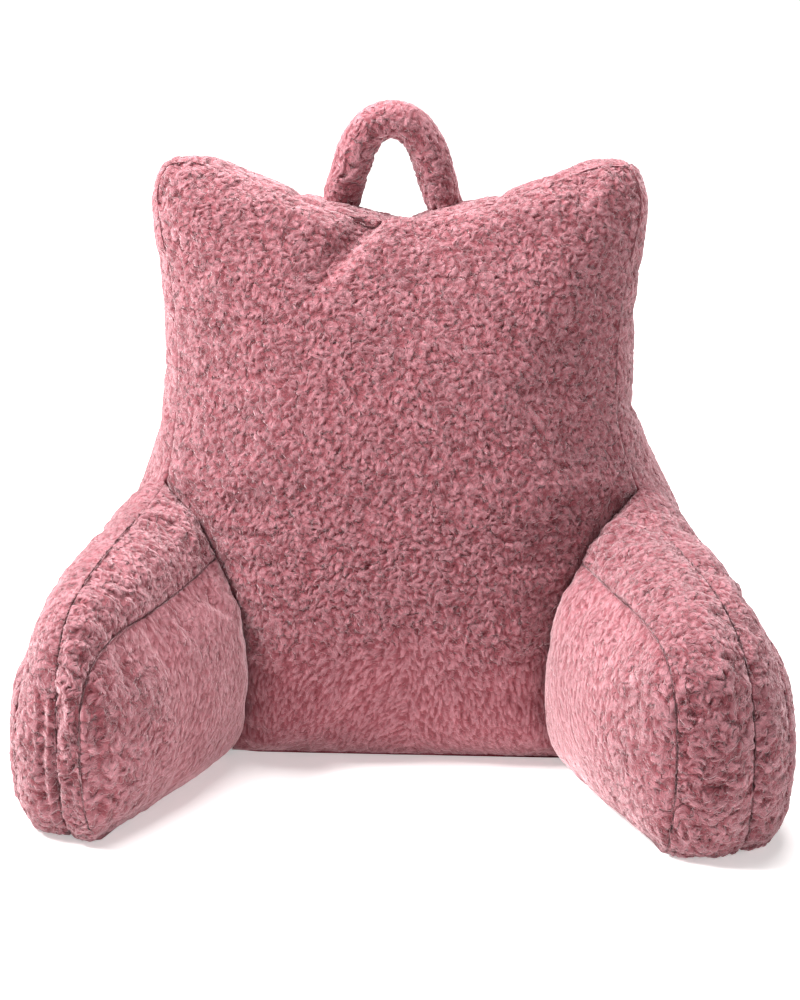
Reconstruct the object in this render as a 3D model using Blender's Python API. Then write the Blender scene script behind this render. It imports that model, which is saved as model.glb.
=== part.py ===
"""Reading pillow: a filled backrest with two ears, two arms and a carry handle, in plush.

Every panel a maker would cut is one filled solid: the cloth of that panel and the filling behind it,
0.3 mm from its neighbours along each seam. Metres, +Z up, the sitter faces -Y, resting on Z = 0.
"""
from math import pi

import bmesh
import bpy
import numpy as np
from mathutils import Vector

SEAM_GAP = 0.0003        # between neighbouring panels along a seam
FRONT_FOOT_Y = -0.071    # front panel at the floor
FRONT_LEAN = 0.217       # how far the front seam leans back per metre of height
BACK_Y = 0.115           # plane of the seam round the back panel
AXIS = (-0.006, 0.330)   # x and z of the line that the backrest's gussets meet on
BODY_SHIFT = -0.006      # the backrest above the arms sits this far to the left
SHIFT_FROM = 0.27        # height where that shift starts
SHIFT_FADE = 0.06        # height over which it grows to the full shift
TOP_BACK = 0.94          # the gusset's back edge along the top, as a share of the front's reach
FRONT_CROWN = 0.056      # how far the filling pushes each panel out at its middle
BACK_CROWN = 0.036
INNER_CROWN = 0.020
OUTER_CROWN = 0.024
CROWN_POWER = 0.62       # below 1 the crown rises steeply from its seams, as stuffed cloth does
GUSSET_PUFF = 0.14       # strips bulge by this share of their width
TOP_PUFF = 0.07
INNER_FLOOR_BULGE = 0.006
OUTER_FLOOR_BULGE = 0.008
BACK_FLOOR_BULGE = 0.012
ROLL_HEIGHT = 0.012      # the front panel rolls up and over its top seam
ROLL_REACH = 0.045
CREASE = (-0.014, 0.545, -0.092, 0.462)   # x, z of its top and of its lower end
CREASE_DEPTH = 0.013
CREASE_WIDTH = 0.017
HANDLE_WIDTH = 0.038     # across the padded tube
HANDLE_FLAT = 0.84       # its depth as a share of its width
HANDLE_Y = 0.083
HANDLE_RINGS = 36
HANDLE_SIDES = 16
PLUSH = (0.575, 0.235, 0.270)

ROOT_NEAR = (0.1520, -0.088)   # plan of the upright plane the arm's root seam lies in: x, y
JOINT = (0.2380, 0.270)        # half width and height where that seam meets the backrest's side seam
CORNER = (0.2590, 0.230)       # half width and height of the back panel's lower corner

# Arm root: the seam from the floor up the front panel's side to the joint.
# half width x, height z
ROOT_SEAM = (
    (0.1580, 0.028),
    (0.1520, 0.070),
    (0.1520, 0.122),
    (0.1610, 0.172),
    (0.1810, 0.208),
    (0.2000, 0.236),
)
ROOT_SPLIT = 4           # row of ROOT_SEAM where the arm's top inner seam starts

# Side seams of the backrest, from the arm up to below the ear's tip.
# front half width, front height, back half width, back height
SIDE_SEAM = (
    (0.2290, 0.301, 0.2335, 0.284),
    (0.2225, 0.336, 0.2235, 0.328),
    (0.2205, 0.374, 0.2205, 0.368),
    (0.2220, 0.415, 0.2210, 0.408),
    (0.2260, 0.455, 0.2235, 0.446),
    (0.2320, 0.490, 0.2270, 0.479),
    (0.2385, 0.520, 0.2305, 0.508),
    (0.2420, 0.545, 0.2310, 0.532),
    (0.2390, 0.567, 0.2265, 0.552),
)
EAR_TIP = (0.2285, 0.5820)
# Top seam from the ear to the middle: half width x, height z
TOP_SEAM = (
    (0.2090, 0.5850),
    (0.1800, 0.5770),
    (0.1420, 0.5630),
    (0.1040, 0.5490),
    (0.0630, 0.5375),
    (0.0250, 0.5300),
)
TOP_MIDDLE = 0.5280

# In plan each arm seam is a straight line from the backrest: half width x right, x left, y of its reach.
REACH = {
    "inner": (0.2655, 0.2790, -0.318),
    "outer": (0.3365, 0.3020, -0.300),
    "back": (0.3720, 0.3500, -0.265),
}
# Side view of each arm seam, on from the backrest, over the shoulder to the floor: y, z right, z left.
INNER_SEAM = (
    (-0.1200, 0.208, 0.198),
    (-0.1850, 0.208, 0.193),
    (-0.2400, 0.206, 0.192),
    (-0.2850, 0.194, 0.181),
    (-0.3090, 0.166, 0.157),
    (-0.3180, 0.122, 0.118),
    (-0.3165, 0.066, 0.064),
    (-0.3090, 0.024, 0.024),
    (-0.2960, 0.000, 0.000),
)
OUTER_SEAM = (
    (-0.0750, 0.247, 0.258),
    (-0.1350, 0.239, 0.251),
    (-0.1950, 0.230, 0.241),
    (-0.2500, 0.209, 0.226),
    (-0.2830, 0.176, 0.201),
    (-0.2990, 0.130, 0.150),
    (-0.3020, 0.070, 0.078),
    (-0.2960, 0.026, 0.028),
    (-0.2860, 0.000, 0.000),
)
BACK_SEAM = (
    (0.0500, 0.209, 0.221),
    (-0.0200, 0.197, 0.208),
    (-0.0900, 0.195, 0.199),
    (-0.1500, 0.191, 0.192),
    (-0.2050, 0.178, 0.170),
    (-0.2420, 0.157, 0.143),
    (-0.2600, 0.122, 0.110),
    (-0.2650, 0.076, 0.068),
    (-0.2600, 0.030, 0.028),
    (-0.2480, 0.000, 0.000),
)
SHOULDER = 5             # row of the arm seams where the top turns down to the front
TOP_ROWS = 14            # faces along the arm's top and down its front
FRONT_ROWS = 10
ROOT_ROWS = (8, 6)       # along the root seam, below and above ROOT_SPLIT
SIDE_ROWS = 17
SIDE_CLOSING = 1.6       # rows close up towards the ear
TOP_COLUMNS = 26
BACK_COLUMNS = 16
CORNER_ROWS = 7          # up the back panel's straight corners, below the gussets
STRIP_COLUMNS = 6
KNOT_STEPS = 24          # points along a smooth curve from one knot to the next
SETTLE_STEPS = 2500      # rounds in which a sheet settles

# Centre line of the handle: x from its middle, height z
HANDLE_MIDDLE = -0.014
HANDLE_LINE = (
    (0.0640, 0.490),
    (0.0540, 0.535),
    (0.0445, 0.566),
    (0.0345, 0.595),
    (0.0190, 0.615),
    (0.0000, 0.6215),
)


def smooth(knots):
    """A smooth curve through the knots, as dense points; knot k is point k * KNOT_STEPS."""
    p = np.array(knots, float)
    p = np.vstack([2 * p[0] - p[1], p, 2 * p[-1] - p[-2]])
    out = []
    for k in range(1, len(p) - 2):
        a, b, c, d = p[k - 1], p[k], p[k + 1], p[k + 2]
        for i in range(KNOT_STEPS):
            t = i / KNOT_STEPS
            out.append(0.5 * (2 * b + (c - a) * t + (2 * a - 5 * b + 4 * c - d) * t ** 2
                              + (3 * b - a - 3 * c + d) * t ** 3))
    out.append(p[-2])
    return np.array(out)


def travelled(curve):
    """How far along its length each point of a curve lies, from 0 to 1."""
    steps = np.linalg.norm(np.diff(curve, axis=0), axis=1)
    at = np.concatenate([[0], np.cumsum(steps)])
    return at / at[-1]


def spread(curve, count, closing=1.0):
    """The same curve as count steps, equal or, above 1, closing up towards its end."""
    at = travelled(curve)
    want = 1 - (1 - np.linspace(0, 1, count + 1)) ** closing
    return np.stack([np.interp(want, at, curve[:, k]) for k in range(curve.shape[1])], axis=1)


def eased(count, ease=0.5):
    """Shares from 0 to 1, closer together at both ends."""
    t = np.linspace(0, 1, count + 1)
    return (1 - ease) * t + ease * (0.5 - 0.5 * np.cos(pi * t))


def front_y(z):
    return FRONT_FOOT_Y + FRONT_LEAN * z


def shifted(x, z):
    """The backrest's sideways shift, which fades out down to the arms."""
    fade = min(max((z - SHIFT_FROM) / SHIFT_FADE, 0), 1)
    return x + BODY_SHIFT * fade


def root_slope():
    return (front_y(JOINT[1]) - ROOT_NEAR[1]) / (JOINT[0] - ROOT_NEAR[0])


def root_y(x):
    return ROOT_NEAR[1] + root_slope() * (x - ROOT_NEAR[0])


def root_plane(side):
    """A point and the normal, towards the arm, of the upright plane that the root seam lies in."""
    normal = np.array([side * root_slope(), -1, 0])
    return np.array([side * ROOT_NEAR[0], ROOT_NEAR[1], 0]), normal / np.linalg.norm(normal)


def root_seam(side):
    """The root seam as its lower and upper part, from the floor up."""
    foot = ROOT_NEAR[0] + (FRONT_FOOT_Y - ROOT_NEAR[1]) / root_slope()
    rows = [(side * x, root_y(x), z) for x, z in ((foot, 0),) + ROOT_SEAM + (JOINT,)]
    dense = smooth(rows)
    cut = (ROOT_SPLIT + 1) * KNOT_STEPS
    return spread(dense[:cut + 1], ROOT_ROWS[0]), spread(dense[cut:], ROOT_ROWS[1])


def arm_start(name):
    """Where a seam of the right arm leaves the backrest."""
    if name == "back":
        return CORNER[0], BACK_Y, CORNER[1]
    x, z = JOINT if name == "outer" else ROOT_SEAM[ROOT_SPLIT]
    return x, root_y(x), z


def arm_seam(side, name):
    """One seam of an arm, from the backrest over the shoulder to the floor."""
    table = {"inner": INNER_SEAM, "outer": OUTER_SEAM, "back": BACK_SEAM}[name]
    x0, y0, z0 = arm_start(name)
    x1, y1 = REACH[name][0 if side > 0 else 1], REACH[name][2]
    rows = [(side * x0, y0, z0)]
    for y, right, left in table:
        x = x0 + (x1 - x0) * (y - y0) / (y1 - y0)
        rows.append((side * x, y, right if side > 0 else left))
    dense = smooth(rows)
    cut = SHOULDER * KNOT_STEPS
    top = spread(dense[:cut + 1], TOP_ROWS)
    front = spread(dense[cut:], FRONT_ROWS)
    return np.vstack([top, front[1:]])


def arm_plane(side, name):
    """A point and the outward normal of an arm seam's upright plane."""
    x0, y0 = arm_start(name)[:2]
    x1, y1 = REACH[name][0 if side > 0 else 1], REACH[name][2]
    normal = np.array([side * (y0 - y1), x1 - x0, 0])
    return np.array([side * x0, y0, 0]), normal / np.linalg.norm(normal)


def side_name(side):
    return "right" if side > 0 else "left"


def outline_knots(at_back):
    """The backrest's seam from the left arm over both ears to the right arm, at the front or the back."""
    half = [CORNER if at_back else JOINT]
    for xf, zf, xb, zb in SIDE_SEAM:
        half.append((xb, zb) if at_back else (xf, zf))
    for x, z in (EAR_TIP,) + TOP_SEAM:
        if at_back:
            x, z = x * TOP_BACK, AXIS[1] + (z - AXIS[1]) * TOP_BACK
        half.append((x, z))
    middle = AXIS[1] + (TOP_MIDDLE - AXIS[1]) * (TOP_BACK if at_back else 1)
    flat = [(-x, z) for x, z in half] + [(0, middle)] + [(x, z) for x, z in reversed(half)]
    rows = []
    for x, z in flat:
        rows.append((shifted(x, z), BACK_Y if at_back else front_y(z), z))
    return rows


def backrest_seams(at_back):
    """The left side, top and right side of the backrest's seam, each from its left or lower end."""
    knots = outline_knots(at_back)
    dense = smooth(knots)
    ear = (len(SIDE_SEAM) + 1) * KNOT_STEPS
    far = (len(knots) - 1) * KNOT_STEPS - ear
    left = spread(dense[:ear + 1], SIDE_ROWS, SIDE_CLOSING)
    top = spread(dense[ear:far + 1], TOP_COLUMNS)
    right = spread(dense[far:][::-1], SIDE_ROWS, SIDE_CLOSING)
    return left, top, right


def patch(low, high, left, right):
    """A four-sided sheet between its edges; low and high run left to right, the others upwards."""
    u = (travelled(low) + travelled(high))[None, :, None] / 2
    v = (travelled(left) + travelled(right))[:, None, None] / 2
    across = (1 - u) * left[:, None] + u * right[:, None]
    along = (1 - v) * low[None] + v * high[None]
    corners = ((1 - u) * (1 - v) * low[0] + u * (1 - v) * low[-1]
               + (1 - u) * v * high[0] + u * v * high[-1])
    return across + along - corners


def membrane(grid, value, load):
    """Settle a value over a sheet, as a film held at the sheet's edges and pushed by an even load."""
    up = np.linalg.norm(grid[1:-1, 1:-1] - grid[:-2, 1:-1], axis=2)
    down = np.linalg.norm(grid[2:, 1:-1] - grid[1:-1, 1:-1], axis=2)
    left = np.linalg.norm(grid[1:-1, 1:-1] - grid[1:-1, :-2], axis=2)
    right = np.linalg.norm(grid[1:-1, 2:] - grid[1:-1, 1:-1], axis=2)
    wide, tall = (left + right) / 2, (up + down) / 2
    total = wide / up + wide / down + tall / left + tall / right
    out = value.copy()
    for _ in range(SETTLE_STEPS):
        pull = wide / up * out[:-2, 1:-1] + wide / down * out[2:, 1:-1]
        pull += tall / left * out[1:-1, :-2] + tall / right * out[1:-1, 2:]
        out[1:-1, 1:-1] = (pull + load * wide * tall) / total
    return out


def crown(grid, height, direction):
    """Push a sheet out by the filling behind it, most at its middle and not at all on its edges."""
    lift = membrane(grid, np.zeros(grid.shape[:2]), 1.0)
    lift = (lift / lift.max()) ** CROWN_POWER * height
    return grid + lift[..., None] * np.array(direction, float)


def bow(start, end, count, bulge, direction):
    """A line along the floor that bows out by bulge at its middle."""
    t = np.linspace(0, 1, count + 1)[:, None]
    return start + (end - start) * t + 4 * t * (1 - t) * bulge * np.array(direction, float)


def ribbon(edge_a, edge_b, share, turn, columns=STRIP_COLUMNS):
    """A strip of cloth between two seams, bulged by a share of its width; turn sets which way is out."""
    t = eased(columns, 0.6)[None, :, None]
    grid = edge_a[:, None] * (1 - t) + edge_b[:, None] * t
    middle = (edge_a + edge_b) / 2
    run = np.gradient(middle, axis=0)
    chord = edge_b - edge_a
    out = turn * np.cross(run, chord)
    out /= np.linalg.norm(out, axis=1)[:, None]
    width = np.linalg.norm(chord, axis=1) * share
    rise = (4 * t * (1 - t)) ** CROWN_POWER * width[:, None, None]
    return grid + rise * out[:, None], rise, out


def held(grid, planes):
    """Keep a sheet on the inner side of the planes that bound its panel, where two panels press."""
    out = grid.copy()
    for point, normal in planes:
        past = np.maximum((out - point) @ normal, 0)
        out -= past[..., None] * normal
    return out


def drawn_back(points, planes):
    """Move each point off the planes it lies on by half the seam gap, inwards."""
    out = points.copy()
    for i, p in enumerate(points):
        on = [n for q, n in planes if abs((p - q) @ n) < 2e-6]
        if on:
            out[i] += np.linalg.lstsq(np.array(on), np.full(len(on), -SEAM_GAP / 2), rcond=None)[0]
    return out


def sheet_faces(grid):
    rows, columns = grid.shape[:2]
    faces = []
    for i in range(rows - 1):
        for j in range(columns - 1):
            faces.append([grid[i, j], grid[i, j + 1], grid[i + 1, j + 1], grid[i + 1, j]])
    return faces


def panel_solid(name, sheets, walls, planes):
    """One closed solid from curved sheets and flat walls that share their edges."""
    index = {}
    points = []
    faces = []
    polygons = [f for sheet in sheets for f in sheet_faces(sheet)] + walls
    flat_from = len(polygons) - len(walls)
    for polygon in polygons:
        face = []
        for p in polygon:
            key = tuple(np.round(np.asarray(p) * 1e6).astype(int))
            if key not in index:
                index[key] = len(points)
                points.append(np.asarray(p, float))
            if index[key] not in face:
                face.append(index[key])
        faces.append(face)
    kept = [k for k, face in enumerate(faces) if len(face) > 2]
    mesh = bpy.data.meshes.new(name)
    mesh.from_pydata(drawn_back(np.array(points), planes).tolist(), [], [faces[k] for k in kept])
    for polygon, k in zip(mesh.polygons, kept):
        polygon.use_smooth = k < flat_from
    return finished(name, mesh)


def finished(name, mesh):
    """Face a mesh outwards, give it its plush and put it in the scene."""
    bm = bmesh.new()
    bm.from_mesh(mesh)
    bmesh.ops.recalc_face_normals(bm, faces=bm.faces)
    if bm.calc_volume(signed=True) < 0:
        bmesh.ops.reverse_faces(bm, faces=bm.faces)
    bm.to_mesh(mesh)
    bm.free()
    ob = bpy.data.objects.new(name, mesh)
    bpy.context.scene.collection.objects.link(ob)
    ob.data.materials.append(plush(name))
    return ob


def plush(name):
    material = bpy.data.materials.new("plush_" + name)
    material.use_nodes = True
    shader = material.node_tree.nodes["Principled BSDF"]
    shader.inputs["Base Color"].default_value = (*PLUSH, 1)
    shader.inputs["Roughness"].default_value = 0.95
    shader.inputs["Metallic"].default_value = 0.0
    return material


def floor_point(p):
    return np.array([p[0], p[1], 0.0])


def front_plane():
    """The leaning plane of the seam round the backrest's front, its normal pointing back."""
    normal = np.array([0, 1, -FRONT_LEAN])
    return np.array([0, FRONT_FOOT_Y, 0]), normal / np.linalg.norm(normal)


def back_plane():
    return np.array([0, BACK_Y, 0]), np.array([0, 1.0, 0])


def flipped(plane):
    return plane[0], -plane[1]


def front_panel():
    left, top, right = backrest_seams(False)
    roots = {side: np.vstack([root_seam(side)[0], root_seam(side)[1][1:]]) for side in (-1, 1)}
    left_edge = np.vstack([roots[-1], left[1:]])
    right_edge = np.vstack([roots[1], right[1:]])
    low = bow(left_edge[0], right_edge[0], TOP_COLUMNS, 0.0, (0, -1, 0))
    grid = patch(low, top, left_edge, right_edge)
    flat = grid * np.array([1, 0, 1])
    grid[..., 1] = membrane(flat, grid[..., 1], 0.0)
    grid = crown(grid, FRONT_CROWN, (0, -1, 0))
    grid = rolled(grid, top)
    grid = creased(grid)
    planes = [front_plane(), root_plane(-1), root_plane(1)]
    grid = held(grid, planes)
    grid[0, :, 2] = 0
    walls = [np.vstack([left_edge[:1], left[:], top[1:], right[::-1][1:], right_edge[:1]])]
    walls += [roots[-1], roots[1], np.array(grid[0])]
    return panel_solid("front_panel", [grid], [list(w) for w in walls], planes)


def rolled(grid, top):
    """Raise the sheet just below its top seam, so that it rolls up and over."""
    out = grid.copy()
    for j in range(1, grid.shape[1] - 1):
        drop = np.linalg.norm(grid[:, j, ::2] - top[j, ::2], axis=1)
        share = np.sqrt(np.clip(drop / ROLL_REACH, 0, 1))
        side = min(j, grid.shape[1] - 1 - j) / 4
        out[:, j, 2] += ROLL_HEIGHT * np.sin(pi * share) * min(side, 1)
    return out


def creased(grid):
    """Press the soft crease into the sheet, deepest at the top edge."""
    x0, z0, x1, z1 = CREASE
    run = np.array([x1 - x0, z1 - z0])
    rel = grid[..., ::2] - np.array([x0, z0])
    along = np.clip(rel @ run / (run @ run), 0, 1)
    away = np.linalg.norm(rel - along[..., None] * run, axis=-1)
    depth = CREASE_DEPTH * (1 - along) ** 0.7 * np.exp(-(away / CREASE_WIDTH) ** 2)
    depth[:, 0] = depth[:, -1] = 0
    depth[-1] = depth[0] = 0
    out = grid.copy()
    out[..., 1] += depth
    return out


def back_panel():
    left, top, right = backrest_seams(True)
    top = spread(top, BACK_COLUMNS)
    left_edge = np.vstack([spread(np.array([floor_point(left[0]), left[0]]), CORNER_ROWS), left[1:]])
    right_edge = np.vstack([spread(np.array([floor_point(right[0]), right[0]]), CORNER_ROWS), right[1:]])
    low = bow(left_edge[0], right_edge[0], BACK_COLUMNS, BACK_FLOOR_BULGE, (0, 1, 0))
    grid = crown(patch(low, top, left_edge, right_edge), BACK_CROWN, (0, 1, 0))
    planes = [flipped(back_plane())]
    wall = np.vstack([left_edge, top[1:], right_edge[::-1][1:]])
    return panel_solid("back_panel", [grid], [list(wall), list(grid[0])], planes)


def mitre_plane(side):
    """The plane through the gussets' line and one ear's tip, its normal pointing up."""
    ear = np.array([shifted(side * EAR_TIP[0], EAR_TIP[1]), EAR_TIP[1]])
    run = ear - np.array(AXIS)
    normal = np.array([-run[1] * side, 0, run[0] * side])
    return np.array([AXIS[0], 0, AXIS[1]]), normal / np.linalg.norm(normal)


def ear_out(side):
    point, normal = mitre_plane(side)
    return np.array([normal[2] * side, 0, -normal[0] * side])


def axis_points():
    """The gussets' line where it meets the front and the back seam plane."""
    x, z = AXIS
    return np.array([x, front_y(z), z]), np.array([x, BACK_Y, z])


def gusset_side(side):
    """The strip from the ear down the backrest's side and on over the arm to the floor."""
    front = backrest_seams(False)[0 if side < 0 else 2]
    back = backrest_seams(True)[0 if side < 0 else 2]
    outer = arm_seam(side, "outer")
    behind = arm_seam(side, "back")
    edge_a = np.vstack([outer[::-1], front[1:]])
    edge_b = np.vstack([behind[::-1], back[1:]])
    grid, rise, out = ribbon(edge_a, edge_b, GUSSET_PUFF, -side)
    grid[-1] -= rise[-1] * out[-1]
    grid[-1] += rise[-1] * ear_out(side)
    grid[0, :, 2] = 0
    arm_rows = len(outer)
    arm_planes = [flipped(arm_plane(side, "outer")), arm_plane(side, "back")]
    body_planes = [flipped(front_plane()), back_plane()]
    grid[:arm_rows] = held(grid[:arm_rows], arm_planes)
    grid[arm_rows - 1:] = held(grid[arm_rows - 1:], body_planes)
    root_foot = root_seam(side)[0][0]
    joint, corner = outer[0], behind[0]
    axis_front, axis_back = axis_points()
    foot_front = np.array([AXIS[0], FRONT_FOOT_Y, 0])
    foot_back = np.array([AXIS[0], BACK_Y, 0])
    walls = [
        [*outer, floor_point(joint)],
        [*behind, floor_point(corner)],
        [joint, root_foot, floor_point(joint)],
        [*front, axis_front, foot_front, root_foot],
        [*back, axis_back, foot_back, floor_point(corner)],
        [*grid[-1], axis_back, axis_front],
        [axis_front, axis_back, foot_back, foot_front],
        [*grid[0], floor_point(corner), foot_back, foot_front, root_foot, floor_point(joint)],
    ]
    middle = (np.array([AXIS[0], 0, 0]), np.array([-side, 0, 0.0]))
    planes = arm_planes + body_planes + [mitre_plane(side), middle, root_plane(side)]
    return panel_solid("gusset_" + side_name(side), [grid], walls, planes)


def gusset_top():
    """The strip across the top between the ears, which the handle is sewn on."""
    front = backrest_seams(False)[1]
    back = backrest_seams(True)[1]
    share = TOP_PUFF + (GUSSET_PUFF - TOP_PUFF) * np.linspace(-1, 1, len(front)) ** 6
    grid, rise, out = ribbon(front, back, share, 1)
    for row, side in ((0, -1), (-1, 1)):
        grid[row] += rise[row] * (ear_out(side) - out[row])
    body_planes = [flipped(front_plane()), back_plane()]
    grid = held(grid, body_planes)
    axis_front, axis_back = axis_points()
    walls = [
        [*front, axis_front],
        [*back, axis_back],
        [*grid[0], axis_back, axis_front],
        [*grid[-1], axis_back, axis_front],
    ]
    planes = body_planes + [flipped(mitre_plane(-1)), flipped(mitre_plane(1))]
    return panel_solid("gusset_top", [grid], walls, planes)


def arm_band(side):
    """The strip over an arm's top and down its front, between the inner and the outer seam."""
    inner = arm_seam(side, "inner")
    outer = arm_seam(side, "outer")
    upper = root_seam(side)[1]
    grid, rise, out = ribbon(inner, outer, GUSSET_PUFF, side, len(upper) - 1)
    grid[0] = upper
    grid[-1, :, 2] = 0
    planes = [flipped(arm_plane(side, "inner")), arm_plane(side, "outer"), flipped(root_plane(side))]
    grid = held(grid, planes)
    foot_in, foot_out = floor_point(inner[0]), floor_point(outer[0])
    walls = [
        [*inner, foot_in],
        [*outer, foot_out],
        [*upper, foot_out, foot_in],
        [*grid[-1], foot_out, foot_in],
    ]
    return panel_solid("arm_band_" + side_name(side), [grid], walls, planes)


def arm_inner(side):
    """The panel that faces the sitter."""
    inner = arm_seam(side, "inner")
    lower = root_seam(side)[0]
    point, normal = arm_plane(side, "inner")
    low = bow(lower[0], inner[-1], TOP_ROWS, INNER_FLOOR_BULGE, -normal)
    grid = patch(low, inner[:TOP_ROWS + 1], lower, spread(inner[TOP_ROWS:][::-1], ROOT_ROWS[0]))
    planes = [(point, normal), flipped(root_plane(side))]
    grid = held(crown(grid, INNER_CROWN, -normal), planes)
    front = grid[:, -1]
    foot = floor_point(inner[0])
    walls = [
        [*inner[:TOP_ROWS + 1], *front[::-1][1:], foot],
        [*lower, foot],
        [*grid[0], foot],
    ]
    return panel_solid("arm_inner_" + side_name(side), [grid], walls, planes)


def arm_outer(side):
    """The panel on an arm's far side, from the back's corner to the front."""
    behind = arm_seam(side, "back")
    point, normal = arm_plane(side, "back")
    corner = floor_point(behind[0])
    rows = ROOT_ROWS[0]
    low = bow(corner, behind[-1], TOP_ROWS, OUTER_FLOOR_BULGE, normal)
    rear = spread(np.array([corner, behind[0]]), rows)
    grid = patch(low, behind[:TOP_ROWS + 1], rear, spread(behind[TOP_ROWS:][::-1], rows))
    planes = [(point, -normal)]
    grid = held(crown(grid, OUTER_CROWN, normal), planes)
    walls = [
        [*behind[:TOP_ROWS + 1], *grid[:, -1][::-1][1:], *rear[:-1]],
        [*grid[0]],
    ]
    return panel_solid("arm_outer_" + side_name(side), [grid], walls, planes)


def handle(seat):
    """A padded tube bent into a loop, its ends sewn flat on the top gusset."""
    half = [(HANDLE_MIDDLE + x, HANDLE_Y, z) for x, z in HANDLE_LINE]
    other = [(HANDLE_MIDDLE - x, HANDLE_Y, z) for x, z in HANDLE_LINE[:-1]]
    line = spread(smooth(other + half[::-1]), HANDLE_RINGS)
    run = np.gradient(line, axis=0)
    run /= np.linalg.norm(run, axis=1)[:, None]
    depth = np.array([0, 1.0, 0])
    turn = np.linspace(0, 2 * pi, HANDLE_SIDES, endpoint=False)[None, :, None]
    across = np.cross(depth, run)[:, None]
    grid = line[:, None] + HANDLE_WIDTH / 2 * (np.cos(turn) * across + HANDLE_FLAT * np.sin(turn) * depth)
    index = np.arange(grid.shape[0] * HANDLE_SIDES).reshape(-1, HANDLE_SIDES).tolist()
    faces = [index[0], index[-1]]
    for near, far in zip(index, index[1:]):
        for j in range(HANDLE_SIDES):
            k = (j + 1) % HANDLE_SIDES
            faces.append([near[j], near[k], far[k], far[j]])
    mesh = bpy.data.meshes.new("handle")
    mesh.from_pydata(grid.reshape(-1, 3).tolist(), [], faces)
    for polygon in mesh.polygons[2:]:
        polygon.use_smooth = True
    ob = finished("handle", mesh)
    cut = ob.modifiers.new("sewn flat", "BOOLEAN")
    cut.operation = "DIFFERENCE"
    cut.solver = "EXACT"
    cut.object = seat_cutter(seat)
    return ob


def seat_cutter(seat):
    """The top gusset grown by the seam gap, which trims the handle's ends."""
    mesh = seat.data.copy()
    for vertex, normal in zip(mesh.vertices, [v.normal.copy() for v in seat.data.vertices]):
        vertex.co += normal * SEAM_GAP * 1.3
    ob = bpy.data.objects.new("handle_seat", mesh)
    ob.hide_render = True
    ob.display_type = "WIRE"
    bpy.context.scene.collection.objects.link(ob)
    return ob


def centred(objects):
    """Put the origin under the middle of the whole pillow."""
    points = np.array([v.co[:] for ob in objects for v in ob.data.vertices])
    low, high = points.min(axis=0), points.max(axis=0)
    move = Vector((-(low[0] + high[0]) / 2, -(low[1] + high[1]) / 2, -low[2]))
    for ob in objects:
        for v in ob.data.vertices:
            v.co += move


def build():
    for ob in list(bpy.data.objects):
        bpy.data.objects.remove(ob)
    objects = [front_panel(), back_panel(), gusset_top()]
    for side in (-1, 1):
        objects += [gusset_side(side), arm_band(side), arm_inner(side), arm_outer(side)]
    objects.append(handle(objects[2]))
    objects.append(bpy.data.objects["handle_seat"])
    centred(objects)


build()
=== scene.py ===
# %% [markdown]
# # A reading pillow in faux rabbit plush
#
# The pillow is a stuffed backrest with two ears, two arms and a carry handle. A maker cuts twelve pieces
# from one roll of long-pile plush, sews them along their edges and fills them with loose foam.
# The frame holds those pieces as plain solids. Here each one becomes a filled skin: the filling is
# simulated, the seams are drawn in, the cloth is wrinkled where it is gathered, and the pile is raised
# into tufts. The skins keep the solids' places, so the pillow keeps its size.
#
# The frame is in metres. Everything about cloth is thought of in millimetres, so it is worked out in
# millimetres and turned to metres when it is written back.

# %% Load the frame
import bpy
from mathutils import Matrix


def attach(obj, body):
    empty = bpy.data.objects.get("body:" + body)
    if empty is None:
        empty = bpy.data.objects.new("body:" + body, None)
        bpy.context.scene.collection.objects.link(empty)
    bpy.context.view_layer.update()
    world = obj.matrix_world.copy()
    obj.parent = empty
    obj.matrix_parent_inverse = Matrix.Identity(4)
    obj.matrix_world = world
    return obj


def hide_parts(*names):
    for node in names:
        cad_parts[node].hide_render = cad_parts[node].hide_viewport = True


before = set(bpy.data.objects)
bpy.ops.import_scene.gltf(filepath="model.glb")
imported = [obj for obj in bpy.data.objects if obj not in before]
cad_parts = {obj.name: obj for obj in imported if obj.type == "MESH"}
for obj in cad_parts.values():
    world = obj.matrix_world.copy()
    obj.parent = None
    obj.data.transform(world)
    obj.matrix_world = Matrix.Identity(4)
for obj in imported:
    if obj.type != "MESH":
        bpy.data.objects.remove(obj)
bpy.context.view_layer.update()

from concurrent.futures import ThreadPoolExecutor
from math import cos, pi, radians, sin

import bmesh
import bpy
import numpy as np
from mathutils import Vector
from mathutils.bvhtree import BVHTree
from mathutils.kdtree import KDTree

MM = 0.001

# %% [markdown]
# ## Camera
#
# The pillow is seen from the sitter's side, a little to its right and from above, through a long lens
# that keeps its sides nearly parallel. The camera could be placed by typing its coordinates. It is
# placed by angle and distance round the point it looks at instead, because the lamps can then be
# placed by the same function.

# %% Camera
AIM = Vector((-0.0103, 0.0523, 0.260))   # metres, inside the backrest at its middle
DISTANCE = 2.5
AZIMUTH = radians(3)
ELEVATION = radians(17)
LENS_MM = 90


def round_the_aim(azimuth, elevation, distance):
    """A place at that angle and distance from the point that the camera looks at."""
    flat = cos(elevation)
    return AIM + distance * Vector((sin(azimuth) * flat, -cos(azimuth) * flat, sin(elevation)))


camera = bpy.data.objects.new("camera", bpy.data.cameras.new("camera"))
camera.data.lens = LENS_MM
camera.location = round_the_aim(AZIMUTH, ELEVATION, DISTANCE)
camera.rotation_euler = (AIM - camera.location).to_track_quat("-Z", "Y").to_euler()
bpy.context.scene.collection.objects.link(camera)
bpy.context.scene.camera = camera
bpy.context.scene.view_settings.view_transform = "Standard"
print("camera at", [round(v, 3) for v in camera.location])

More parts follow.
